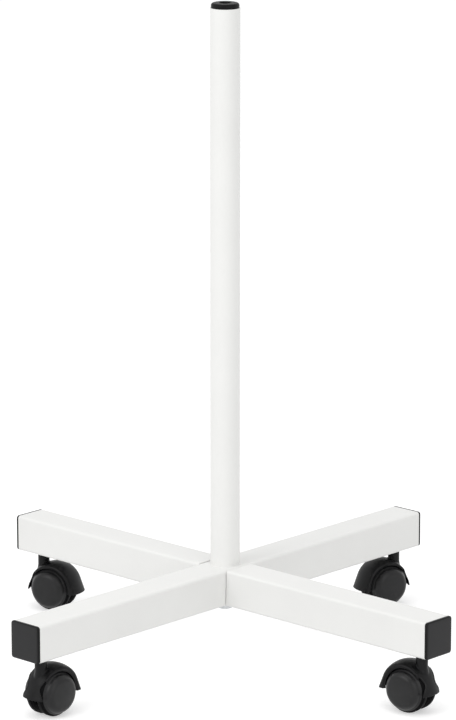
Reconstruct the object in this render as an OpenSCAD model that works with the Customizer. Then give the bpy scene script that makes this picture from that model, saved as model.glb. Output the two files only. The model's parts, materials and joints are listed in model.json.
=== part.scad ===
// Rolling pedestal stand: a round pole on a half-lapped cross of square tubes with twin-wheel castors.
// Millimetres, +Z up. The origin is on the floor under the pole. The upper rail runs along Y and the
// lower rail along X: front left is -Y, back right is +Y, front right is +X and back left is -X.

/* [Pole] */
// Outside diameter of the pole's tube
pole_d = 32; // [28:1:34]
// Wall of the pole's tube
pole_wall = 1.5; // [1:0.25:2.5]
// Length of the pole's tube
pole_len = 606; // [300:1:1200]
// Length of the threaded plug in the pole's lower end
insert_h = 22; // [18:1:40]

/* [Top bush] */
// Diameter of the bush's head
bush_head_d = 30; // [26:0.5:34]
// Height of the bush's head above the pole
bush_head_h = 5.3; // [4:0.1:12]
// Radius of the rounded edge of the head
bush_edge_r = 2.6; // [1:0.1:3]
// Bore of the socket that takes a lamp or arm
socket_d = 12.6; // [10:0.1:16]
// Wall of the socket's tube
socket_wall = 2.2; // [1.5:0.1:3]
// Depth of the bush inside the pole
bush_depth = 45; // [20:1:80]
// Thickness of the bush's fins
bush_fin_t = 1.8; // [1:0.1:3]

/* [Rails] */
// Length of each rail's tube
rail_len = 600; // [400:10:900]
// Width and height of the rail's square tube
rail_w = 40; // [38:1:50]
// Wall of the rail's tube
rail_wall = 1.5; // [1:0.25:2.5]
// Outside corner radius of the rail's tube
rail_corner = 3; // [2.6:0.1:4]
// Gap on each side of a rail in the other rail's notch
lap_gap = 0.8; // [0.2:0.1:2]

/* [Rail caps] */
// Depth of the straight side of a cap's head
cap_side = 2; // [1:0.1:4]
// Depth of the rounded edge of a cap's head
cap_round_h = 2; // [1:0.1:3]
// Width of the rounded edge of a cap's head
cap_round_w = 3.2; // [2:0.1:4]
// Length of the cap's spigot inside the rail
cap_spigot = 10; // [6:0.5:10]
// Wall of the cap's spigot
cap_wall = 1.8; // [1.2:0.1:3]
// Number of gripping fins round the spigot
cap_fins = 3; // [1:1:4]

/* [Clamp bolt] */
// Diameter of the bolt's shank
bolt_d = 10; // [8:1:12]
// Length of the bolt under its head
bolt_len = 60; // [58:1:70]
// Width across the flats of the bolt's head
bolt_flats = 17; // [14:1:19]
// Height of the bolt's head
bolt_head_h = 6.4; // [5:0.1:8]
// Diameter of the washer under the bolt's head
washer_d = 30; // [22:1:36]
// Thickness of the washer
washer_t = 2.5; // [1.5:0.1:4]

/* [Castors] */
// Height from the floor to the underside of the rails
castor_h = 66; // [64:1:80]
// Distance from the end of a rail's tube to the castor's stem
stem_inset = 20; // [19:1:60]
// Distance from the stem's axis to the wheels' axle
trail = 13.5; // [12:0.5:18]
// Turn of the front left castor from straight in line with its rail
turn_front_left = 0; // [-180:1:180]
// Turn of the front right castor
turn_front_right = 5; // [-180:1:180]
// Turn of the back left castor
turn_back_left = 15; // [-180:1:180]
// Turn of the back right castor
turn_back_right = -17; // [-180:1:180]

/* [Castor wheels] */
// Diameter of the wheel's tread
wheel_d = 50; // [46:0.5:52]
// Width over the domed faces of both wheels
wheels_w = 44; // [40:0.5:50]
// Width of one wheel's tread
tread_w = 5; // [4:0.5:6]
// Radius of the tread's outer edge
tread_edge_r = 2; // [0.5:0.1:3]
// Step from the tread down to the rim of the domed disc
dome_step = 4; // [3.2:0.1:6]
// Radius of the disc's rounded edge
dome_edge_r = 8; // [4:0.5:9]
// Rise of the disc's face above its rounded edge
dome_crown = 1; // [0.6:0.1:2]
// Wall of the wheel's moulding
wheel_wall = 2.2; // [1.5:0.1:3]
// Outside diameter of the wheel's hub
hub_d = 14; // [12:0.5:18]
// Number of ribs inside a wheel
wheel_ribs = 6; // [3:1:8]
// Thickness of a rib
rib_t = 1.6; // [1:0.1:3]
// Diameter of the axle
axle_d = 8; // [6:0.5:9]

/* [Castor hood] */
// Radius of the hood's round top, seen from the side
hood_r = 28.5; // [27:0.1:30]
// Height of the round top's centre above the axle
hood_lift = 1.8; // [0:0.1:4]
// Distance of the round top's centre behind the axle
hood_shift = 2.5; // [0:0.1:4]
// Slant of the hood's straight skirts from upright
skirt_angle = 22; // [5:1:30]
// Height of the hood's lower edge above the floor
hood_lip_z = 22; // [18:0.5:24]
// Width of the hood
hood_w = 29.5; // [26:0.5:34]
// Radius of the hood's rounded edges
hood_edge_r = 4.5; // [4.2:0.1:6]
// Rise of the hood's crown above its rounded edges
hood_crown = 1.6; // [0.5:0.1:4]
// Wall of the hood
hood_wall = 2.4; // [1.6:0.1:4]
// Thickness of the web between the wheels
web_t = 9; // [8:0.5:12]
// Diameter of the web's boss round the axle
boss_d = 15; // [12:0.5:18]
// Diameter of the hood's neck
neck_d = 13; // [12.5:0.5:18]
// Widening of the neck at its foot, on each side
neck_foot_w = 2.8; // [1:0.1:4]
// Height of the neck's foot above the top of the skirts
neck_foot_h = 12; // [6:1:16]

/* [Castor stems] */
// Diameter of the stem's thread
stem_d = 8; // [6:0.5:10]
// Length of the stem's thread above its collar
stem_thread = 14; // [8:1:18]
// Thickness of the stem's collar
collar_t = 2.5; // [1.5:0.1:4]
// Diameter of the swivel pin
pin_d = 8; // [7:0.5:9]
// Width across the flats of the nut in the rail
nut_flats = 13; // [11:0.5:13]
// Height of the nut in the rail
nut_h = 6.5; // [4:0.5:8]
// Thickness of the grip ring's wire
ring_t = 1.2; // [0.8:0.1:1.6]

/* [Fits] */
// Radial clearance of a pin or hub that turns
running_gap = 0.05; // [0.03:0.01:0.1]
// Radial clearance of a plug that is pushed in
push_gap = 0.1; // [0.05:0.05:0.3]
// Radial clearance of a bolt or stem in a drilled hole
hole_gap = 0.5; // [0.3:0.1:1]
// Gap between a castor's neck and the collar that bears on it
seat_gap = 0.3; // [0.1:0.05:0.5]
// Clearance between a moving moulding and what is beside it
moving_gap = 0.6; // [0.4:0.1:1]

/* [Hidden] */
$fn = 64;
// Rounded mouldings are hulls of thin slices, each with this many sides
slice_fn = 32;
slice_t = 0.01;
// Something a little longer than whatever it cuts
over = 1;

CORNERS = ["front_left", "front_right", "back_left", "back_right"];
// Direction of each rail end from the pole, in degrees from +X
END_ANGLE = [-90, 0, 180, 90];
TURN = [turn_front_left, turn_front_right, turn_back_left, turn_back_right];
CORNER_PARTS = ["rail_cap", "insert_nut", "stem", "grip_ring", "hood", "axle", "wheel_a", "wheel_b"];

pole_r = pole_d / 2;
pole_bore_r = pole_r - pole_wall;
rail_z = castor_h;
rail_top = rail_z + rail_w;
lap_z = rail_z + rail_w / 2;
bush_z = rail_top + pole_len;
notch_w = rail_w + 2 * lap_gap;

axle_z = wheel_d / 2;
pocket_r = wheel_d / 2 + moving_gap;
wheel_in = web_t / 2 + moving_gap;
dome_rise = dome_edge_r + dome_crown;
rim_w = wheels_w / 2 - dome_rise - wheel_in;
hood_z = axle_z + hood_lift;
hood_rise = hood_edge_r + hood_crown;
skirt_z = hood_z + hood_r * sin(skirt_angle);
collar_z = castor_h - collar_t;
neck_top = collar_z - seat_gap;
// The swivel pin ends just above the wheels' pockets
pin_z = axle_z + sqrt(pocket_r * pocket_r - trail * trail) + 1;
ring_z = pin_z + 2.5;

// ---- shared shapes ----

// Outline of a square with round corners, centred
module round_square(size, r) {
    square([size - 2 * r, size], center = true);
    square([size, size - 2 * r], center = true);
    for (x = [-1, 1]) for (y = [-1, 1])
        translate([x * (size / 2 - r), y * (size / 2 - r)]) circle(r = r);
}

// A square tube along X, centred, standing on z = 0
module square_tube(length) {
    translate([-length / 2, 0, rail_w / 2])
        rotate([90, 0, 90])
            linear_extrude(length)
                difference() {
                    round_square(rail_w, rail_corner);
                    round_square(rail_w - 2 * rail_wall, rail_corner - rail_wall / 2);
                }
}

// A hexagonal prism with its base on z = 0
module hexagon(flats, height) {
    cylinder(d = flats / cos(30), h = height, $fn = 6);
}

// Outline with straight sides and a crowned top. The edges' centres are on y = 0, the crown's
// middle is `rise` above them, and every arc runs smoothly into the next.
module crowned(half, rise, edge_r, depth) {
    reach = half - edge_r;
    crown_r = (reach * reach + rise * rise - edge_r * edge_r) / (2 * (rise - edge_r));
    top = 2 * (crown_r - rise);
    intersection() {
        translate([-half, -depth]) square([2 * half, depth + rise]);
        union() {
            translate([-half, -depth]) square([2 * half, depth]);
            for (side = [-1, 1]) translate([side * reach, 0]) circle(r = edge_r);
            intersection() {
                translate([0, rise - crown_r]) circle(r = crown_r);
                polygon([[-reach, 0], [reach, 0], [3 * reach, top], [-3 * reach, top]]);
            }
        }
    }
}

// Turns its children so that their Z axis lies along +Y
module along_y() {
    rotate([-90, 0, 0]) children();
}

// Puts its children at a rail's end, with +X pointing out along the rail
module at_rail_end(i) {
    rotate([0, 0, END_ANGLE[i]]) translate([rail_len / 2, 0, 0]) children();
}

// Puts its children on a castor's stem axis, with +X pointing to the wheels at rest
module at_castor(i) {
    at_rail_end(i) translate([-stem_inset, 0, 0]) rotate([0, 0, 180 + TURN[i]]) children();
}

// ---- pole ----

module pole() color("white")
    translate([0, 0, rail_top])
        difference() {
            cylinder(r = pole_r, h = pole_len);
            translate([0, 0, -over]) cylinder(r = pole_bore_r, h = pole_len + 2 * over);
        }

module pole_insert() color("silver")
    translate([0, 0, rail_top])
        difference() {
            cylinder(r = pole_bore_r - push_gap / 2, h = insert_h);
            translate([0, 0, -over]) cylinder(r = bolt_d / 2 + running_gap, h = insert_h + 2 * over);
        }

// Head, socket tube and fins are one moulding
module pole_bush() color("#2b2b2b")
    translate([0, 0, bush_z])
        difference() {
            union() {
                rotate_extrude() bush_head_outline();
                translate([0, 0, -bush_depth]) cylinder(d = socket_d + 2 * socket_wall, h = bush_depth);
                for (turn = [0:60:120]) rotate([0, 0, turn]) bush_fin_pair();
            }
            translate([0, 0, -bush_depth - over])
                cylinder(d = socket_d, h = bush_depth + bush_head_h + 2 * over);
            translate([0, 0, bush_head_h - 0.6])
                cylinder(d1 = socket_d, d2 = socket_d + 3, h = 1.5);
        }

// Half section of the head: a disc with a rounded upper edge
module bush_head_outline() {
    head_r = bush_head_d / 2;
    square([head_r - bush_edge_r, bush_head_h]);
    square([head_r, bush_head_h - bush_edge_r]);
    translate([head_r - bush_edge_r, bush_head_h - bush_edge_r]) circle(r = bush_edge_r);
}

// Two opposite fins, with a lead-in chamfer at the lower end
module bush_fin_pair() {
    fin_r = pole_bore_r - push_gap;
    lead = 2;
    rotate([90, 0, 0])
        linear_extrude(bush_fin_t, center = true)
            polygon([
                [-fin_r, 0], [fin_r, 0], [fin_r, lead - bush_depth], [fin_r - lead, -bush_depth],
                [lead - fin_r, -bush_depth], [-fin_r, lead - bush_depth]
            ]);
}

// ---- base ----

// The upper rail's lower half is cut away where it crosses the lower rail
module rail_upper() color("white")
    difference() {
        rotate([0, 0, 90]) translate([0, 0, rail_z]) square_tube(rail_len);
        translate([-rail_w, -notch_w / 2, rail_z - over]) cube([2 * rail_w, notch_w, lap_z - rail_z + over]);
        translate([0, 0, lap_z]) cylinder(r = bolt_d / 2 + hole_gap, h = rail_w);
        for (i = [0, 3]) stem_hole(i);
    }

// The lower rail's upper half is cut away where it crosses the upper rail
module rail_lower() color("white")
    difference() {
        translate([0, 0, rail_z]) square_tube(rail_len);
        translate([-notch_w / 2, -rail_w, lap_z]) cube([notch_w, 2 * rail_w, rail_w]);
        translate([0, 0, rail_z - over]) cylinder(r = bolt_d / 2 + hole_gap, h = rail_w / 2);
        for (i = [1, 2]) stem_hole(i);
    }

module stem_hole(i) {
    at_castor(i) translate([0, 0, rail_z - over]) cylinder(r = stem_d / 2 + hole_gap, h = rail_wall + 2 * over);
}

module clamp_bolt() color("silver")
    translate([0, 0, rail_z - washer_t]) {
        cylinder(d = bolt_d, h = bolt_len);
        translate([0, 0, -bolt_head_h])
            intersection() {
                hexagon(bolt_flats, bolt_head_h);
                cylinder(r1 = bolt_flats / 2 - 0.5, r2 = bolt_flats / 2 + bolt_head_h, h = bolt_head_h);
            }
    }

module clamp_washer() color("silver")
    translate([0, 0, rail_z - washer_t])
        difference() {
            cylinder(d = washer_d, h = washer_t);
            translate([0, 0, -over]) cylinder(r = bolt_d / 2 + hole_gap, h = washer_t + 2 * over);
        }

// A hollow spigot with fins, and a head that is flush with the tube and rounded at its edge
module rail_cap() color("#333333")
    translate([0, 0, rail_z + rail_w / 2])
        rotate([0, 90, 0]) {
            linear_extrude(cap_side) round_square(rail_w, rail_corner);
            cap_edge();
            translate([0, 0, -cap_spigot]) cap_sleeve();
        }

// The edge is a stack of slices along a quarter ellipse
module cap_edge() {
    hull()
        for (a = [0:22.5:90])
            translate([0, 0, cap_side + cap_round_h * sin(a) - slice_t])
                linear_extrude(slice_t)
                    round_square(
                        rail_w - 2 * cap_round_w * (1 - cos(a)),
                        rail_corner, $fn = slice_fn
                    );
}

module cap_sleeve() {
    tube_in = rail_w - 2 * rail_wall;
    fin_t = 1;
    fin_h = 1.2;
    sleeve_w = tube_in - 2 * fin_h;
    linear_extrude(cap_spigot)
        difference() {
            square(sleeve_w, center = true);
            square(sleeve_w - 2 * cap_wall, center = true);
        }
    for (k = [0:cap_fins - 1])
        translate([0, 0, 1 + k * (cap_spigot - 2) / cap_fins])
            linear_extrude(fin_t)
                difference() {
                    round_square(tube_in - 2 * push_gap, rail_corner - rail_wall / 2);
                    square(sleeve_w - 2 * cap_wall, center = true);
                }
}

// ---- castors, drawn with the stem's axis on Z and the wheels towards +X ----

module insert_nut() color("silver")
    translate([0, 0, rail_z + rail_wall])
        difference() {
            hexagon(nut_flats, nut_h);
            translate([0, 0, -over]) cylinder(r = stem_d / 2 + running_gap, h = nut_h + 2 * over);
        }

// Thread, collar and a swivel pin with a groove for the grip ring
module stem() color("#444444") {
    translate([0, 0, castor_h]) cylinder(d = stem_d, h = stem_thread);
    translate([0, 0, collar_z]) cylinder(d = neck_d - 1, h = collar_t);
    difference() {
        translate([0, 0, pin_z + 0.5]) cylinder(d = pin_d, h = collar_z - pin_z - 0.5);
        translate([0, 0, ring_z])
            difference() {
                cylinder(d = pin_d + over, h = ring_t + 0.2);
                cylinder(d = pin_d - 2 * ring_t, h = ring_t + 0.2);
            }
    }
}

// An open ring that sits in the stem's groove and holds the hood up
module grip_ring() color("silver")
    translate([0, 0, ring_z + 0.1])
        difference() {
            cylinder(r = pin_d / 2 + 0.4, h = ring_t);
            translate([0, 0, -over]) cylinder(r = pin_d / 2 - ring_t + 0.1, h = ring_t + 2 * over);
            translate([0, -1, -over]) cube([pin_d, 2, ring_t + 2 * over]);
        }

// Half section of the hood from the wheels' side of its middle outwards, set in by its wall or not
module hood_outline(inset) {
    translate([hood_r - hood_rise, 0])
        rotate(-90)
            crowned(hood_w / 2 - inset, hood_rise - inset, hood_edge_r - inset, hood_r - hood_rise);
}

// A round top with a straight skirt on each side, and a wedge that fills the space between them
module hood_body(inset) {
    half_base = hood_r * sin(skirt_angle);
    base = -hood_r * cos(skirt_angle);
    translate([trail + hood_shift, 0, hood_z]) {
        along_y()
            rotate([0, 0, skirt_angle - 180])
                rotate_extrude(angle = 180 - 2 * skirt_angle, $fn = 96) hood_outline(inset);
        for (turn = [0, 180]) rotate([0, 0, turn])
            rotate([0, -skirt_angle, 0])
                translate([0, 0, -hood_r]) linear_extrude(hood_r) hood_outline(inset);
        rotate([90, 0, 0])
            linear_extrude(hood_w - 2 * inset, center = true)
                polygon([[0, 0], [-half_base, base], [half_base, base]]);
    }
}

// The neck, with a foot that runs into the hood in front of the stem
module hood_neck() {
    translate([0, 0, skirt_z]) cylinder(d = neck_d, h = neck_top - skirt_z);
    translate([0, 0, skirt_z - neck_foot_w])
        cylinder(r1 = neck_d / 2 + neck_foot_w, r2 = neck_d / 2, h = neck_foot_h + neck_foot_w);
}

// The space inside the hood, beside its web and round the boss for the stem
module hood_cavity()
    difference() {
        hood_body(hood_wall);
        translate([-wheel_d, -web_t / 2, -wheel_d]) cube([4 * wheel_d, web_t, 4 * wheel_d]);
        cylinder(d = neck_d, h = castor_h);
    }

module wheel_pocket() {
    translate([trail, web_t / 2, axle_z]) along_y() cylinder(r = pocket_r, h = wheels_w);
}

module hood() color("#262626")
    difference() {
        union() {
            difference() {
                union() {
                    hood_body(0);
                    hood_neck();
                }
                translate([-wheel_d, -wheel_d, -wheel_d]) cube([4 * wheel_d, 2 * wheel_d, wheel_d + hood_lip_z]);
                hood_cavity();
            }
            translate([trail, -web_t / 2, axle_z]) along_y() cylinder(d = boss_d, h = web_t);
        }
        for (side = [0, 1]) mirror([0, side, 0]) wheel_pocket();
        translate([0, 0, pin_z]) cylinder(r = pin_d / 2 + running_gap, h = neck_top);
        translate([0, 0, ring_z - 0.2]) cylinder(r = pin_d / 2 + 0.7, h = ring_t + 0.6);
        translate([trail, -web_t, axle_z]) along_y() cylinder(r = axle_d / 2, h = 2 * web_t);
    }

module axle() color("silver")
    translate([trail, -axle_reach(), axle_z]) along_y() cylinder(d = axle_d, h = 2 * axle_reach());

function axle_reach() = wheels_w / 2 - wheel_wall - 2;

// Half section of a wheel's dome with its straight rim, set in by its wall or not
module dome_outline(inset)
    intersection() {
        translate([0, rim_w])
            crowned(dome_r() - inset, dome_rise - inset, dome_edge_r - inset, rim_w);
        square([wheel_d, wheels_w]);
    }

function dome_r() = wheel_d / 2 - dome_step;

// Half section of the tread, with a rounded edge down to the dome's rim
module tread_outline() {
    edge_x = wheel_d / 2 - tread_edge_r;
    square([edge_x, tread_w]);
    square([wheel_d / 2, tread_w - tread_edge_r]);
    translate([edge_x, tread_w - tread_edge_r]) circle(r = tread_edge_r);
}

// A hollow moulding with a closed dome outside, a hub that runs into the dome and low ribs between
// the hub and the rim. Its inner face is on z = 0.
module wheel_shape() {
    bore_h = axle_reach() - wheel_in + 0.4;
    hub_h = wheels_w / 2 - wheel_in - 0.6 * wheel_wall;
    rib_top = rim_w - 1;
    difference() {
        union() {
            rotate_extrude($fn = 96)
                difference() {
                    union() {
                        dome_outline(0);
                        tread_outline();
                    }
                    translate([0, -over]) square([dome_r() - wheel_wall, over + rim_w]);
                    dome_outline(wheel_wall);
                }
            cylinder(d = hub_d, h = hub_h);
            for (k = [0:wheel_ribs - 1])
                rotate([0, 0, k * 360 / wheel_ribs])
                    translate([0, -rib_t / 2, 1]) cube([dome_r() - wheel_wall / 2, rib_t, rib_top - 1]);
        }
        translate([0, 0, -over]) cylinder(r = axle_d / 2 + running_gap, h = bore_h + over);
    }
}

module wheel() color("#303030")
    translate([trail, wheel_in, axle_z]) along_y() wheel_shape();

// ---- the parts ----

pole();
pole_bush();
pole_insert();
rail_upper();
rail_lower();
clamp_bolt();
clamp_washer();
for (i = [0:3]) {
    at_rail_end(i) rail_cap();
    at_castor(i) insert_nut();
    at_castor(i) stem();
    at_castor(i) grip_ring();
    at_castor(i) hood();
    at_castor(i) axle();
    at_castor(i) wheel();
    at_castor(i) mirror([0, 1, 0]) wheel();
}
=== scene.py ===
# %% [markdown]
# # A rolling pedestal stand
# This lesson dresses a finished CAD model: a white steel pole on a cross of two square tubes, with
# black end caps, a black socket bush on top and a twin-wheel castor under each end of the cross.
# The CAD part is loaded as a fixed frame. Everything made here is fitted to it, in metres, with
# +Z up and the floor at z = 0.

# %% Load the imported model
import json
import math

import bmesh
import bpy
from mathutils import Matrix, Vector

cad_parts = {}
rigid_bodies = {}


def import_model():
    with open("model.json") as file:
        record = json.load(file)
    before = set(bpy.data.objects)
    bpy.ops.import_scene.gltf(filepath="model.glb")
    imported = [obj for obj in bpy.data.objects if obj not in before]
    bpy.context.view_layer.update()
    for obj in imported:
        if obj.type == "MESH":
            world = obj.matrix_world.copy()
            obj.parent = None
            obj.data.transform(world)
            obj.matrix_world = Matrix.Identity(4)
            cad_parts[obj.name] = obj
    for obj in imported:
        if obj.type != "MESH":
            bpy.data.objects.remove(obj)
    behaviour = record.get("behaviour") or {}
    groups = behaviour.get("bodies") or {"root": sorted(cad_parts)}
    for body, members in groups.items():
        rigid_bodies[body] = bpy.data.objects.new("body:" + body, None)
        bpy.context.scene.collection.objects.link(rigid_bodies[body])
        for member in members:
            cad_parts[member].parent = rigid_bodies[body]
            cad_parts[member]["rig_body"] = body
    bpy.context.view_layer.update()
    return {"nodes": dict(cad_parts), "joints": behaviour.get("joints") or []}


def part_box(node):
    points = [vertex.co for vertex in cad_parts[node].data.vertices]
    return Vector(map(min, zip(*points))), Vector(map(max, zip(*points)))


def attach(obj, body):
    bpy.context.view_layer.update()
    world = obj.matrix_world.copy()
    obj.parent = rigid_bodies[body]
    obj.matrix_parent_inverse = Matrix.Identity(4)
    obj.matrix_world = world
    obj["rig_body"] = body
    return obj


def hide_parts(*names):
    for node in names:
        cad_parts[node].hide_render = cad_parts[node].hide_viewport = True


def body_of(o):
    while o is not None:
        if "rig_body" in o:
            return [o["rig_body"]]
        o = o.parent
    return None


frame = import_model()
nodes = frame["nodes"]
MM = 0.001
UP = Vector((0, 0, 1))

# %% [markdown]
# ## The camera
# A stand like this is shown from a long way off with a long lens, so its upright stays straight
# and its four arms look nearly the same length. The camera is about 4.3 m from the pole and looks
# down at 13.5 degrees. The lens is worked out from a focal length in pixels of the picture's
# 720 pixel height.

# %% Place the camera
PICTURE_H = 720
FOCAL_PX = 4128.43
EYE_DISTANCE = 4.2926
EYE_HEIGHT = 1.3615
EYE_TURN = math.radians(43.01)
LOOK_DOWN = 0.235309
LOOK_SIDE = 0.000719
LOOK_ROLL = 0.000351

camera_data = bpy.data.cameras.new("camera")
camera_data.sensor_fit = "VERTICAL"
camera_data.sensor_height = 36.0
camera_data.lens = FOCAL_PX * camera_data.sensor_height / PICTURE_H
camera_data.clip_end = 50.0
camera = bpy.data.objects.new("camera", camera_data)
bpy.context.scene.collection.objects.link(camera)
eye = Vector((EYE_DISTANCE * math.sin(EYE_TURN), -EYE_DISTANCE * math.cos(EYE_TURN), EYE_HEIGHT))
turn = (
    Matrix.Rotation(EYE_TURN - LOOK_SIDE, 4, "Z")
    @ Matrix.Rotation(math.pi / 2 - LOOK_DOWN, 4, "X")
    @ Matrix.Rotation(LOOK_ROLL, 4, "Z")
)
camera.matrix_world = Matrix.Translation(eye) @ turn
bpy.context.scene.camera = camera
bpy.context.scene.view_settings.view_transform = "Standard"
print("lens mm:", round(camera_data.lens, 1), "eye:", [round(v, 3) for v in eye])

# %% [markdown]
# ## Four small helpers
# Colours are written the way a paint chart gives them, as sRGB hex values. Shaders work in linear
# light, so one function turns a hex value to linear. Another adds a node to a material with its
# settings and its links, which keeps each material short. The third blends two colours by a
# value, and the fourth tells the rays that show a surface from those that only light others.

# %% Helpers for colours and nodes
def linear(hex_colour, alpha=1.0):
    """An sRGB hex value such as "#F0F0EE" as linear red, green, blue and alpha."""
    out = []
    for i in (1, 3, 5):
        c = int(hex_colour[i:i + 2], 16) / 255
        out.append(c / 12.92 if c <= 0.04045 else ((c + 0.055) / 1.055) ** 2.4)
    return (*out, alpha)


def add_node(tree, kind, settings=None, inputs=None):
    """Adds a node: settings are its properties, inputs are values or sockets to link from."""
    made = tree.nodes.new(kind)
    for key, value in (settings or {}).items():
        setattr(made, key, value)
    for key, value in (inputs or {}).items():
        if isinstance(value, bpy.types.NodeSocket):
            tree.links.new(value, made.inputs[key])
        else:
            made.inputs[key].default_value = value
    return made


def two_tones(tree, value, first, second):
    """A ramp on a value. Each tone is a pair: where on the value it stands, and a hex colour."""
    ramp = add_node(tree, "ShaderNodeValToRGB", inputs={"Fac": value})
    for element, (position, colour) in zip(ramp.color_ramp.elements, (first, second)):
        element.position = position
        element.color = linear(colour)
    return ramp.outputs[0]


def showing_rays(tree):
    """A value that is 1 for rays from the camera, from gloss or through glass, and 0 for others."""
    seen = add_node(tree, "ShaderNodeLightPath")
    mirrored = add_node(
        tree, "ShaderNodeMath", {"operation": "MAXIMUM"},
        {0: seen.outputs["Is Glossy Ray"], 1: seen.outputs["Is Transmission Ray"]},
    )
    shown = add_node(
        tree, "ShaderNodeMath", {"operation": "MAXIMUM"},
        {0: seen.outputs["Is Camera Ray"], 1: mirrored.outputs[0]},
    )
    return shown.outputs[0]


print("white is", linear("#FFFFFF")[:3])

# %% [markdown]
# ## Floor and background
# The stand is shown on plain white. The floor and the background are white because of what they
# are, not because more light falls on them: rays from the camera, and rays mirrored in gloss or
# sent through glass, see white, while the lighting itself stays at a plain level. The floor also
# takes the soft shadow of the castors.

# %% Make the floor
FLOOR_HALF = 6.0
FLOOR_GLOW = 0.42

floor_mesh = bpy.data.meshes.new("floor")
shape = bmesh.new()
bmesh.ops.create_grid(shape, x_segments=1, y_segments=1, size=FLOOR_HALF)
shape.to_mesh(floor_mesh)
shape.free()
floor = bpy.data.objects.new("floor", floor_mesh)
bpy.context.scene.collection.objects.link(floor)

floor_paint = bpy.data.materials.new("white_sweep_paper")
floor_paint.use_nodes = True
tree = floor_paint.node_tree
tree.nodes.clear()
paper = add_node(tree, "ShaderNodeBsdfDiffuse", inputs={"Color": linear("#E9E9E9")})
glow = add_node(tree, "ShaderNodeEmission", inputs={"Color": (1, 1, 1, 1), "Strength": FLOOR_GLOW})
lifted = add_node(tree, "ShaderNodeAddShader", inputs={0: paper.outputs[0], 1: glow.outputs[0]})
surface = add_node(
    tree, "ShaderNodeMixShader",
    inputs={0: showing_rays(tree), 1: paper.outputs[0], 2: lifted.outputs[0]},
)
add_node(tree, "ShaderNodeOutputMaterial", inputs={"Surface": surface.outputs[0]})
floor_mesh.materials.append(floor_paint)
print("floor half width:", FLOOR_HALF)

# %% [markdown]
# ## Light
# White paint shows its form only through small steps of grey, so the light is broad and nearly
# even: a bright surround, one large soft lamp high on the left, a weaker one in front and a third
# overhead. The right-hand sides then come out a little darker than the left-hand ones.

# %% Light the stand
SURROUND = 0.74

world = bpy.data.worlds.new("studio")
bpy.context.scene.world = world
world.use_nodes = True
tree = world.node_tree
tree.nodes.clear()
strength = add_node(
    tree, "ShaderNodeMix", {"data_type": "FLOAT"},
    {0: showing_rays(tree), 2: SURROUND, 3: 1.0},
)
backdrop = add_node(
    tree, "ShaderNodeBackground",
    inputs={"Color": (1, 1, 1, 1), "Strength": strength.outputs[0]},
)
add_node(tree, "ShaderNodeOutputWorld", inputs={"Surface": backdrop.outputs[0]})

LAMPS = {
    "left_softbox": {"turn": -10, "height": 2.3, "away": 3.2, "size": 2.2, "watts": 33},
    "front_fill": {"turn": 70, "height": 1.8, "away": 3.6, "size": 2.4, "watts": 18},
    "overhead": {"turn": 30, "height": 3.4, "away": 0.8, "size": 2.0, "watts": 12},
}
AIM = Vector((0, 0, 0.35))
for name, lamp in LAMPS.items():
    light = bpy.data.lights.new(name, "AREA")
    light.shape = "SQUARE"
    light.size = lamp["size"]
    light.energy = lamp["watts"]
    holder = bpy.data.objects.new(name, light)
    bpy.context.scene.collection.objects.link(holder)
    side, away = math.radians(lamp["turn"]), lamp["away"]
    holder.location = (away * math.sin(side), -away * math.cos(side), lamp["height"])
    holder.rotation_euler = (AIM - holder.location).to_track_quat("-Z", "Y").to_euler()
print("lamps:", list(LAMPS))

# %% [markdown]
# ## White powder coat
# The pole and both rails are steel tube sprayed with polyester powder and baked. The film is
# satin, and it flows into very shallow waves a millimetre or two apart, which is called orange
# peel. It is drawn with a noise bump on Object coordinates, so it has a real size everywhere.

# %% Make the powder coat
def new_material(name):
    """A material with an empty tree, a Principled shader and an output. Gives all three."""
    made = bpy.data.materials.new(name)
    made.use_nodes = True
    made.node_tree.nodes.clear()
    shader = add_node(made.node_tree, "ShaderNodeBsdfPrincipled")
    add_node(made.node_tree, "ShaderNodeOutputMaterial", inputs={"Surface": shader.outputs[0]})
    return made, made.node_tree, shader


def per_metre(size_mm):
    """The scale of a pattern that repeats about every size_mm on Object coordinates."""
    return 1 / (size_mm * MM)


powder_coat, tree, shader = new_material("satin_polyester_powder_coat")
place = add_node(tree, "ShaderNodeTexCoord").outputs["Object"]
peel = add_node(
    tree, "ShaderNodeTexNoise", {"noise_dimensions": "3D"},
    {"Vector": place, "Scale": per_metre(2.4), "Detail": 2.0, "Roughness": 0.45},
)
film = add_node(
    tree, "ShaderNodeTexNoise", {"noise_dimensions": "3D"},
    {"Vector": place, "Scale": per_metre(90), "Detail": 3.0, "Roughness": 0.5},
)
tone = two_tones(tree, film.outputs[0], (0.3, "#EDEDEB"), (0.7, "#F1F1EF"))
satin = add_node(
    tree, "ShaderNodeMapRange",
    inputs={
        "Value": film.outputs[0], "From Min": 0.3, "From Max": 0.7,
        "To Min": 0.34, "To Max": 0.42,
    },
)
waves = add_node(
    tree, "ShaderNodeBump",
    inputs={"Strength": 0.12, "Distance": 0.05 * MM, "Height": peel.outputs[0]},
)
tree.links.new(tone, shader.inputs["Base Color"])
tree.links.new(satin.outputs[0], shader.inputs["Roughness"])
tree.links.new(waves.outputs[0], shader.inputs["Normal"])
shader.inputs["IOR"].default_value = 1.5
print("made", powder_coat.name)
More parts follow.
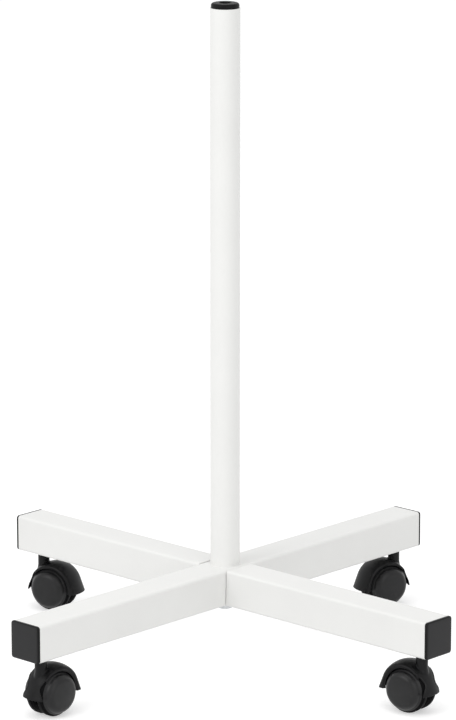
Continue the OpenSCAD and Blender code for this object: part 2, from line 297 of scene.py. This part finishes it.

# %% [markdown]
# ## Moulded black plastics
# The caps are polyethylene, dull and slightly grained by the mould. Their edges get a copy that is
# a little smoother and darker, and the darker colour is painted shade along the rims. The castors'
# hoods and wheels are nylon, smoother again, and the bush on the pole is the same nylon left matt.
# The tyres are a softer, duller plastic, and their near-black colour is painted shade under the
# wheels. All of them are nearly black, with patches a little paler and a roughness that varies.

# %% Make the black plastics
def black_plastic(name, dark, worn, rough, gloss, grain_mm, grain_depth_mm):
    """A moulded black plastic: two near-black tones, a roughness that varies and a fine grain."""
    made, tree, shader = new_material(name)
    place = add_node(tree, "ShaderNodeTexCoord").outputs["Object"]
    patches = add_node(
        tree, "ShaderNodeTexNoise", {"noise_dimensions": "3D"},
        {"Vector": place, "Scale": per_metre(14), "Detail": 4.0, "Roughness": 0.6},
    )
    tone = two_tones(tree, patches.outputs[0], (0.35, dark), (0.75, worn))
    sheen = add_node(
        tree, "ShaderNodeMapRange",
        inputs={
            "Value": patches.outputs[0], "From Min": 0.3, "From Max": 0.7,
            "To Min": rough - 0.05, "To Max": rough + 0.05,
        },
    )
    grain = add_node(
        tree, "ShaderNodeTexNoise", {"noise_dimensions": "3D"},
        {"Vector": place, "Scale": per_metre(grain_mm), "Detail": 1.0},
    )
    relief = add_node(
        tree, "ShaderNodeBump",
        inputs={"Strength": 0.25, "Distance": grain_depth_mm * MM, "Height": grain.outputs[0]},
    )
    tree.links.new(tone, shader.inputs["Base Color"])
    tree.links.new(sheen.outputs[0], shader.inputs["Roughness"])
    tree.links.new(relief.outputs[0], shader.inputs["Normal"])
    shader.inputs["IOR"].default_value = 1.5
    shader.inputs["Specular IOR Level"].default_value = gloss
    return made


cap_plastic = black_plastic(
    "moulded_polyethylene", dark="#151516", worn="#1D1D1F",
    rough=0.5, gloss=0.3, grain_mm=0.9, grain_depth_mm=0.05,
)
# The edges' copy is darker: painted shade along the caps' rims
cap_edge_shade_plastic = black_plastic(
    "moulded_polyethylene_edge_painted_shade", dark="#0A0A0B", worn="#111112",
    rough=0.4, gloss=0.16, grain_mm=0.9, grain_depth_mm=0.03,
)
bush_plastic = black_plastic(
    "moulded_nylon_matt", dark="#09090A", worn="#111112",
    rough=0.46, gloss=0.13, grain_mm=0.8, grain_depth_mm=0.04,
)
hood_plastic = black_plastic(
    "moulded_nylon_grained", dark="#0E0E0F", worn="#171718",
    rough=0.36, gloss=0.17, grain_mm=0.8, grain_depth_mm=0.04,
)
wheel_plastic = black_plastic(
    "moulded_nylon_smooth", dark="#141415", worn="#1C1C1D",
    rough=0.36, gloss=0.3, grain_mm=1.2, grain_depth_mm=0.02,
)
# The tyre's near-black colour is painted shade under the wheels
tyre_shade_plastic = black_plastic(
    "moulded_tyre_painted_shade", dark="#050506", worn="#0C0C0D",
    rough=0.55, gloss=0.06, grain_mm=1.0, grain_depth_mm=0.05,
)
print("made", cap_plastic.name, bush_plastic.name, hood_plastic.name, tyre_shade_plastic.name)

# %% [markdown]
# ## Steel fittings
# Bolts, nuts, washers and axles are zinc plated, which gives a pale grey metal with faint cloudy
# patches. The castor stems are turned steel that was blackened in hot salts.

# %% Make the metals
def plated_metal(name, pale, dull, rough):
    """A metal with cloudy patches of two tones and a roughness that follows them."""
    made, tree, shader = new_material(name)
    place = add_node(tree, "ShaderNodeTexCoord").outputs["Object"]
    clouds = add_node(
        tree, "ShaderNodeTexNoise", {"noise_dimensions": "3D"},
        {"Vector": place, "Scale": per_metre(4), "Detail": 5.0, "Roughness": 0.6},
    )
    tone = two_tones(tree, clouds.outputs[0], (0.3, pale), (0.7, dull))
    sheen = add_node(
        tree, "ShaderNodeMapRange",
        inputs={
            "Value": clouds.outputs[0], "From Min": 0.3, "From Max": 0.7,
            "To Min": rough - 0.06, "To Max": rough + 0.06,
        },
    )
    tree.links.new(tone, shader.inputs["Base Color"])
    tree.links.new(sheen.outputs[0], shader.inputs["Roughness"])
    shader.inputs["Metallic"].default_value = 1.0
    return made


zinc = plated_metal("bright_zinc_plate", "#C9CBCC", "#B4B7B9", 0.32)
blackened = plated_metal("blackened_steel", "#3A3A3B", "#2E2E2F", 0.4)
print("made", zinc.name, blackened.name)

# %% [markdown]
# ## Dress the CAD pieces
# Most CAD pieces already have the right shape, so they only get a finish. The table gives the
# finish for the start of each piece's name.

# %% Give each CAD piece its finish
FINISHES = {
    "pole_bush": bush_plastic,
    "pole_insert": zinc,
    "pole": powder_coat,
    "rail_cap": cap_plastic,
    "rail": powder_coat,
    "clamp": zinc,
    "insert_nut": zinc,
    "stem": blackened,
    "grip_ring": zinc,
    "hood": hood_plastic,
    "axle": zinc,
    "wheel": wheel_plastic,
}
for name, piece in nodes.items():
    start = next(s for s in FINISHES if name.startswith(s))
    piece.data.materials.clear()
    piece.data.materials.append(FINISHES[start])
print("dressed", len(nodes), "pieces")

# %% [markdown]
# ## New pieces in place of CAD pieces
# A CAD solid is exact but has knife edges, and light shows a moulding mostly by its soft edges. So
# the caps, hoods and wheels are made again with rounded edges, each where its CAD node is. A piece
# that stands for a node also has to ride on that node's body, so that it moves as the node does.

# %% Put a new piece in place of a node
def stand_for(node, shape, finishes, crease=35):
    """Turns a bmesh into an object that replaces a CAD node and moves with the node's body."""
    mesh = bpy.data.meshes.new("smooth_" + node)
    shape.to_mesh(mesh)
    shape.free()
    for finish in finishes:
        mesh.materials.append(finish)
    mesh.shade_smooth()
    mesh.set_sharp_from_angle(angle=math.radians(crease))
    piece = bpy.data.objects.new("smooth_" + node, mesh)
    bpy.context.scene.collection.objects.link(piece)
    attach(piece, body_of(nodes[node])[0])
    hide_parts(node)
    return piece


CORNERS = ("front_left", "front_right", "back_left", "back_right")
print("corners:", CORNERS)

# %% [markdown]
# ## Rail caps
# A rail cap is one polyethylene moulding: a square head that lies against the tube's end, and a
# hollow sleeve with three thin fins that grip the tube's wall. It is drawn as a tower of rounded
# squares. One square is extruded again and again, and each time its rim is scaled and lifted to
# the next step of the section. The head's face bulges by a third of a millimetre.

# %% Draw the section of a cap
CAP_HALF = 20
CAP_CORNER = 3
HEAD_H = 4
SLEEVE_END = -10
SLEEVE_IN, SLEEVE_OUT, FIN_OUT = 15.5, 17.3, 18.4
FIN_STARTS = (-9, -6.33, -3.67)
FIN_T = 1
# Steps of the head's back edge (inwards from its side, up from its back)
BACK_EDGE = ((0.5, 0), (0.15, 0.12), (0, 0.5))
# The rounded front edge: where it starts, how wide and how high it is
EDGE_Z, EDGE_W, EDGE_H = 2, 3.0, 1.7
EDGE_STEPS = 8
# Steps of the bulging face (half width, height)
FACE_STEPS = ((14, 3.82), (10, 3.91), (6, 3.97), (2, HEAD_H))
# Above this height the face's own finish begins; below it the rim takes a darker copy of it, which
# is painted shade
EDGE_SHADE_TOP_Z = 3.3
CORNER_SEGMENTS = 6

cap_section = [(SLEEVE_IN, 0), (SLEEVE_IN, SLEEVE_END), (SLEEVE_OUT, SLEEVE_END)]
for z in FIN_STARTS:
    top = z + FIN_T
    cap_section += [(SLEEVE_OUT, z), (FIN_OUT, z), (FIN_OUT, top), (SLEEVE_OUT, top)]
cap_section.append((SLEEVE_OUT, 0))
cap_section += [(CAP_HALF - inwards, z) for inwards, z in BACK_EDGE]
for step in range(EDGE_STEPS + 1):
    a = math.radians(90 * step / EDGE_STEPS)
    cap_section.append((CAP_HALF - EDGE_W * (1 - math.cos(a)), EDGE_Z + EDGE_H * math.sin(a)))
cap_section += FACE_STEPS
print("steps in a cap's section:", len(cap_section))


# %% Make the four caps
def cap_shape():
    """A cap with its head's back on z = 0 and its axis on Z, in metres."""
    shape = bmesh.new()
    start = cap_section[0][0]
    bmesh.ops.create_grid(shape, x_segments=1, y_segments=1, size=start * MM)
    bmesh.ops.bevel(
        shape, geom=shape.verts[:], offset=CAP_CORNER * start / CAP_HALF * MM,
        segments=CORNER_SEGMENTS, profile=0.5, affect="VERTICES", material=-1,
    )
    rim = max(shape.faces, key=lambda face: face.calc_area())
    for (half, z), (next_half, next_z) in zip(cap_section, cap_section[1:]):
        grown = bmesh.ops.extrude_face_region(shape, geom=[rim])["geom"]
        rim = next(part for part in grown if isinstance(part, bmesh.types.BMFace))
        scale = next_half / half
        bmesh.ops.scale(shape, vec=(scale, scale, 1), verts=rim.verts)
        bmesh.ops.translate(shape, vec=(0, 0, (next_z - z) * MM), verts=rim.verts)
    bmesh.ops.recalc_face_normals(shape, faces=shape.faces)
    # Faces low on the cap take the edge's darker copy: painted shade on the rim
    for face in shape.faces:
        middle = face.calc_center_median()
        face.material_index = int(middle.z > EDGE_SHADE_TOP_Z * MM)
    return shape


for corner in CORNERS:
    node = "rail_cap_" + corner
    low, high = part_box(node)
    middle = (low + high) / 2
    out = Vector((round(middle.x / middle.xy.length), round(middle.y / middle.xy.length), 0))
    base = out * (max(abs(low.dot(out)), abs(high.dot(out))) - HEAD_H * MM) + UP * middle.z
    to_place = Matrix.Translation(base) @ Matrix((UP.cross(out), UP, out)).transposed().to_4x4()
    shape = cap_shape()
    bmesh.ops.transform(shape, matrix=to_place, verts=shape.verts)
    # The first finish is the rims' painted shade
    piece = stand_for(node, shape, [cap_edge_shade_plastic, cap_plastic])
print("faces in a cap:", len(piece.data.polygons))

# %% [markdown]
# ## Castor hoods
# A hood is a thick nylon moulding whose rims and inside corners are all a little round. Drawing
# each fillet by hand would take long, so the CAD mesh is copied, its loose triangles are merged,
# and it is rebuilt from cells of 0.4 mm and smoothed. That rounds every edge by about a
# millimetre and leaves the broad surfaces where they are. First a thin cheek is added inside each
# side: an arch that closes the space between the hood's side and the wheel's dome. On the stem's
# side, where the wheel's pocket leaves a thin edge, a row of small balls follows that edge. The
# cells melt the arch and the balls into the hood, so the thin edge ends in a round bead.

# %% Draw a hood's cheek
# Centres of the axle and of the hood's round top: behind the stem and above the floor
AXLE_X, AXLE_Z = 13.5, 25
HOOD_X, HOOD_Z = 16, 26.8
SKIRT_ANGLE = 22
CHEEK_FOOT_Z = 22.3
CHEEK_R = 25.3
CHEEK_END_ANGLE = 148
OPENING_R = 23.4
CHEEK_IN, CHEEK_OUT = 12.0, 13.7


def cheek_rims(steps=48):
    """The cheek's outer and inner rims as points (x, z) in millimetres, from front to stem side."""
    a = math.radians(SKIRT_ANGLE)
    drop = (HOOD_Z + CHEEK_R * math.sin(a) - CHEEK_FOOT_Z) / math.cos(a)
    outer = [(HOOD_X + CHEEK_R * math.cos(a) + drop * math.sin(a), CHEEK_FOOT_Z)]
    sweep = CHEEK_END_ANGLE - SKIRT_ANGLE
    turns = [math.radians(SKIRT_ANGLE + sweep * k / steps) for k in range(steps + 1)]
    outer += [(HOOD_X + CHEEK_R * math.cos(t), HOOD_Z + CHEEK_R * math.sin(t)) for t in turns]
    low = math.asin((CHEEK_FOOT_Z - AXLE_Z) / OPENING_R)
    high = math.atan2(outer[-1][1] - AXLE_Z, outer[-1][0] - AXLE_X)
    inner = []
    for k in range(len(outer)):
        t = low + (high - low) * k / (len(outer) - 1)
        inner.append((AXLE_X + OPENING_R * math.cos(t), AXLE_Z + OPENING_R * math.sin(t)))
    return outer, inner


def add_cheeks(shape, to_place):
    """Adds both cheeks to a hood's bmesh. The matrix takes the castor's own frame to the world."""
    for side in (1, -1):
        rims = []
        for rim in cheek_rims():
            verts = [shape.verts.new((x * MM, side * CHEEK_IN * MM, z * MM)) for x, z in rim]
            rims.append([shape.edges.new(pair) for pair in zip(verts, verts[1:])])
        strip = bmesh.ops.bridge_loops(shape, edges=rims[0] + rims[1])["faces"]
        grown = bmesh.ops.extrude_face_region(shape, geom=strip, use_keep_orig=True)["geom"]
        far = [part for part in grown if isinstance(part, bmesh.types.BMVert)]
        bmesh.ops.translate(shape, vec=(0, side * (CHEEK_OUT - CHEEK_IN) * MM, 0), verts=far)
        plate = {vert for rim in rims for edge in rim for vert in edge.verts} | set(far)
        faces = {face for vert in plate for face in vert.link_faces}
        bmesh.ops.recalc_face_normals(shape, faces=list(faces))
        bmesh.ops.transform(shape, matrix=to_place, verts=list(plate))


print("points on a cheek's rim:", len(cheek_rims()[0]))

# %% Draw the bead on a hood's thin edge
# The hood's section: where its crowned rim starts, the rim's rise, the radius of its rounded edges,
# how far out their centres are, and the radius of its crown
HOOD_BASE_R = 22.4
HOOD_RISE, HOOD_EDGE_R, HOOD_REACH, CROWN_R = 6.1, 4.5, 10.25, 38.13
# The bead's path is an arc about the axle, from and to these angles in degrees
BEAD_PATH_R = 25.8
BEAD_R = 0.7
BEAD_START, BEAD_STOP, BEAD_STEP = 126, 186, 0.8


def side_of_hood(x, z):
    """How far out from the middle, along the axle, the hood's outer skin is at (x, z)."""
    dx, dz = x - HOOD_X, z - HOOD_Z
    skirt = math.radians(180 - SKIRT_ANGLE)
    out = math.hypot(dx, dz)
    if math.atan2(dz, dx) % (2 * math.pi) > skirt:
        out = dx * math.cos(skirt) + dz * math.sin(skirt)
    height = out - HOOD_BASE_R
    on_edge = HOOD_REACH + math.sqrt(max(HOOD_EDGE_R ** 2 - height ** 2, 0))
    if on_edge > HOOD_REACH * CROWN_R / (CROWN_R - HOOD_EDGE_R):
        return on_edge
    return math.sqrt(max(CROWN_R ** 2 - (height - HOOD_RISE + CROWN_R) ** 2, 0))


def add_beads(shape, to_place):
    """Adds a row of small balls along each thin edge. The cells melt them into one round bead."""
    steps = int((BEAD_STOP - BEAD_START) / BEAD_STEP)
    for k in range(steps + 1):
        t = math.radians(BEAD_START + BEAD_STEP * k)
        x, z = AXLE_X + BEAD_PATH_R * math.cos(t), AXLE_Z + BEAD_PATH_R * math.sin(t)
        for side in (1, -1):
            place = Matrix.Translation(Vector((x, side * side_of_hood(x, z), z)) * MM)
            bmesh.ops.create_icosphere(
                shape, subdivisions=2, radius=BEAD_R * MM, matrix=to_place @ place
            )


print("hood's half width by the axle:", round(side_of_hood(AXLE_X - BEAD_PATH_R, AXLE_Z), 1))

# %% Soften the four hoods
HOOD_CELL = 0.4
HOOD_SMOOTHING = 24

joints = {joint["name"]: joint for joint in frame["joints"]}
for corner in CORNERS:
    node = "hood_" + corner
    stem = Vector(joints["swivel_" + corner]["pos_m"])
    trail = (Vector(joints["roll_a_" + corner]["pos_m"]) - stem).xy.to_3d().normalized()
    turned = Matrix((trail, UP.cross(trail), UP)).transposed().to_4x4()
    shape = bmesh.new()
    shape.from_mesh(nodes[node].data)
    bmesh.ops.remove_doubles(shape, verts=shape.verts, dist=0.001 * MM)
    to_place = Matrix.Translation((stem.x, stem.y, 0)) @ turned
    add_cheeks(shape, to_place)
    add_beads(shape, to_place)
    piece = stand_for(node, shape, [hood_plastic])
    cells = piece.modifiers.new("cells", "REMESH")
    cells.mode = "VOXEL"
    cells.voxel_size = HOOD_CELL * MM
    soften = piece.modifiers.new("soften", "SMOOTH")
    soften.factor = 0.5
    soften.iterations = HOOD_SMOOTHING
    ready = piece.evaluated_get(bpy.context.evaluated_depsgraph_get())
    piece.data = bpy.data.meshes.new_from_object(ready)
    piece.modifiers.clear()
    piece.data.shade_smooth()
print("faces in a hood:", len(piece.data.polygons), "finish:", piece.data.materials[0].name)

# %% [markdown]
# ## Castor wheels
# A wheel is a hollow nylon dome with a tyre moulded round its rim. The tyre's near-black, duller
# finish is painted shade under the wheel. Half of the wheel's section is drawn as a chain of edges
# and spun round the axle. The chain starts in the bore, goes round the hub and along the inside of
# the dome to the rim, then out round the tyre, up the shoulder and over the dome to its middle. Six
# ribs join the hub to the rim inside.

# %% Draw the section of a wheel
WHEEL_R = 25
DISC_R = 21
# Beyond this radius the faces take the tyre's painted shade
TYRE_SHADE_IN_R = 22.3
WHEEL_H = 16.9
DOME_EDGE_R = 8
DOME_EDGE_Z = 7.9
BORE_R, BORE_H = 4.05, 13.1
HUB_R = 7
WALL = 2.2
HUB_CHAMFER = 0.3
HUB_FILLET = 0.8
CEILING_DIP = 0.1
RIM_CHAMFER = 0.4
TYRE_FOOT_R = 0.6
TYRE_EDGE_R = 1.6
TYRE_EDGE_Z = 4.0
# Steps of the shoulder between the tyre's edge and the dome (radius, height)
SHOULDER = ((23.6, 5.9), (22.7, 6.9), (21.9, 7.9), (21.45, 8.5), (21.1, 8.8))
# Radii at which the dome's crown is drawn
CROWN_STEPS = (0, 3.5, 7, 10)


def arc(centre_r, centre_z, radius, start, end, steps):
    """Points on an arc from start to end degrees."""
    angles = [math.radians(start + (end - start) * k / steps) for k in range(steps + 1)]
    return [(centre_r + radius * math.cos(a), centre_z + radius * math.sin(a)) for a in angles]


dome_in = DISC_R - DOME_EDGE_R
crown_rise = WHEEL_H - DOME_EDGE_Z - DOME_EDGE_R
crown = [(r, WHEEL_H - crown_rise * (r / dome_in) ** 2) for r in CROWN_STEPS]
ceiling = WHEEL_H - WALL
wheel_section = [(0, BORE_H), (BORE_R, BORE_H)]
wheel_section += [(BORE_R, HUB_CHAMFER), (BORE_R + HUB_CHAMFER, 0)]
wheel_section += [(HUB_R - HUB_CHAMFER, 0), (HUB_R, HUB_CHAMFER)]
wheel_section += [(HUB_R, ceiling - HUB_FILLET), (HUB_R + HUB_FILLET, ceiling - CEILING_DIP)]
wheel_section += arc(dome_in, DOME_EDGE_Z, DOME_EDGE_R - WALL, 90, 0, 8)
wheel_section += [(DISC_R - WALL, RIM_CHAMFER), (DISC_R - WALL + RIM_CHAMFER, 0)]
wheel_section += arc(WHEEL_R - TYRE_FOOT_R, TYRE_FOOT_R, TYRE_FOOT_R, -90, 0, 4)
wheel_section += arc(WHEEL_R - TYRE_EDGE_R, TYRE_EDGE_Z, TYRE_EDGE_R, 0, 55, 5)
wheel_section += SHOULDER
wheel_section += arc(dome_in, DOME_EDGE_Z, DOME_EDGE_R, 10, 88, 12) + crown[::-1]
print("points in a wheel's section:", len(wheel_section))


# %% Spin the wheels
WHEEL_STEPS = 96
RIBS = 6
RIB_T = 1.6
RIB_Z = (1, 6.9)
# How far each rib's ends go into the hub and the rim
RIB_SINK = 1


def wheel_shape():
    """A wheel with its inner face on z = 0 and its axle on Z, in metres."""
    shape = bmesh.new()
    chain = [shape.verts.new((r * MM, 0, z * MM)) for r, z in wheel_section]
    edges = [shape.edges.new(pair) for pair in zip(chain, chain[1:])]
    bmesh.ops.spin(
        shape, geom=chain + edges, cent=(0, 0, 0), axis=(0, 0, 1), angle=2 * math.pi,
        steps=WHEEL_STEPS, use_merge=True, use_duplicate=False,
    )
    bmesh.ops.remove_doubles(shape, verts=shape.verts, dist=0.001 * MM)
    bmesh.ops.recalc_face_normals(shape, faces=shape.faces)
    # Faces beyond the tyre's inner radius take the tyre's painted shade
    for face in shape.faces:
        middle = face.calc_center_median()
        face.material_index = int(middle.xy.length > TYRE_SHADE_IN_R * MM)
    rib_in, rib_out = HUB_R - RIB_SINK, DISC_R - WALL + RIB_SINK
    for k in range(RIBS):
        rib = bmesh.ops.create_cube(shape, size=MM)["verts"]
        bmesh.ops.scale(shape, vec=(rib_out - rib_in, RIB_T, RIB_Z[1] - RIB_Z[0]), verts=rib)
        bmesh.ops.translate(
            shape, vec=((rib_in + rib_out) / 2 * MM, 0, sum(RIB_Z) / 2 * MM), verts=rib
        )
        turned = Matrix.Rotation(2 * math.pi * k / RIBS, 3, "Z")
        bmesh.ops.rotate(shape, cent=(0, 0, 0), matrix=turned, verts=rib)
    return shape


def axle_frame(joint, node):
    """A matrix that turns Z to point out of the castor along the axle, from the inner face."""
    anchor = Vector(joint["pos_m"])
    out = Vector(joint["axis"]).normalized()
    low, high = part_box(node)
    if ((low + high) / 2 - anchor).dot(out) < 0:
        out = -out
    inner = min((v.co - anchor).dot(out) for v in nodes[node].data.vertices)
    turned = Matrix((UP.cross(out), UP, out)).transposed().to_4x4()
    return Matrix.Translation(anchor + out * inner) @ turned


wheel_joints = {j["child"]: j for j in frame["joints"] if j["child"].startswith("wheel_")}
for body, joint in wheel_joints.items():
    shape = wheel_shape()
    bmesh.ops.transform(shape, matrix=axle_frame(joint, body), verts=shape.verts)
    # The second finish is the tyres' painted shade
    piece = stand_for(body, shape, [wheel_plastic, tyre_shade_plastic])
print("wheels:", len(wheel_joints), "faces in a wheel:", len(piece.data.polygons))
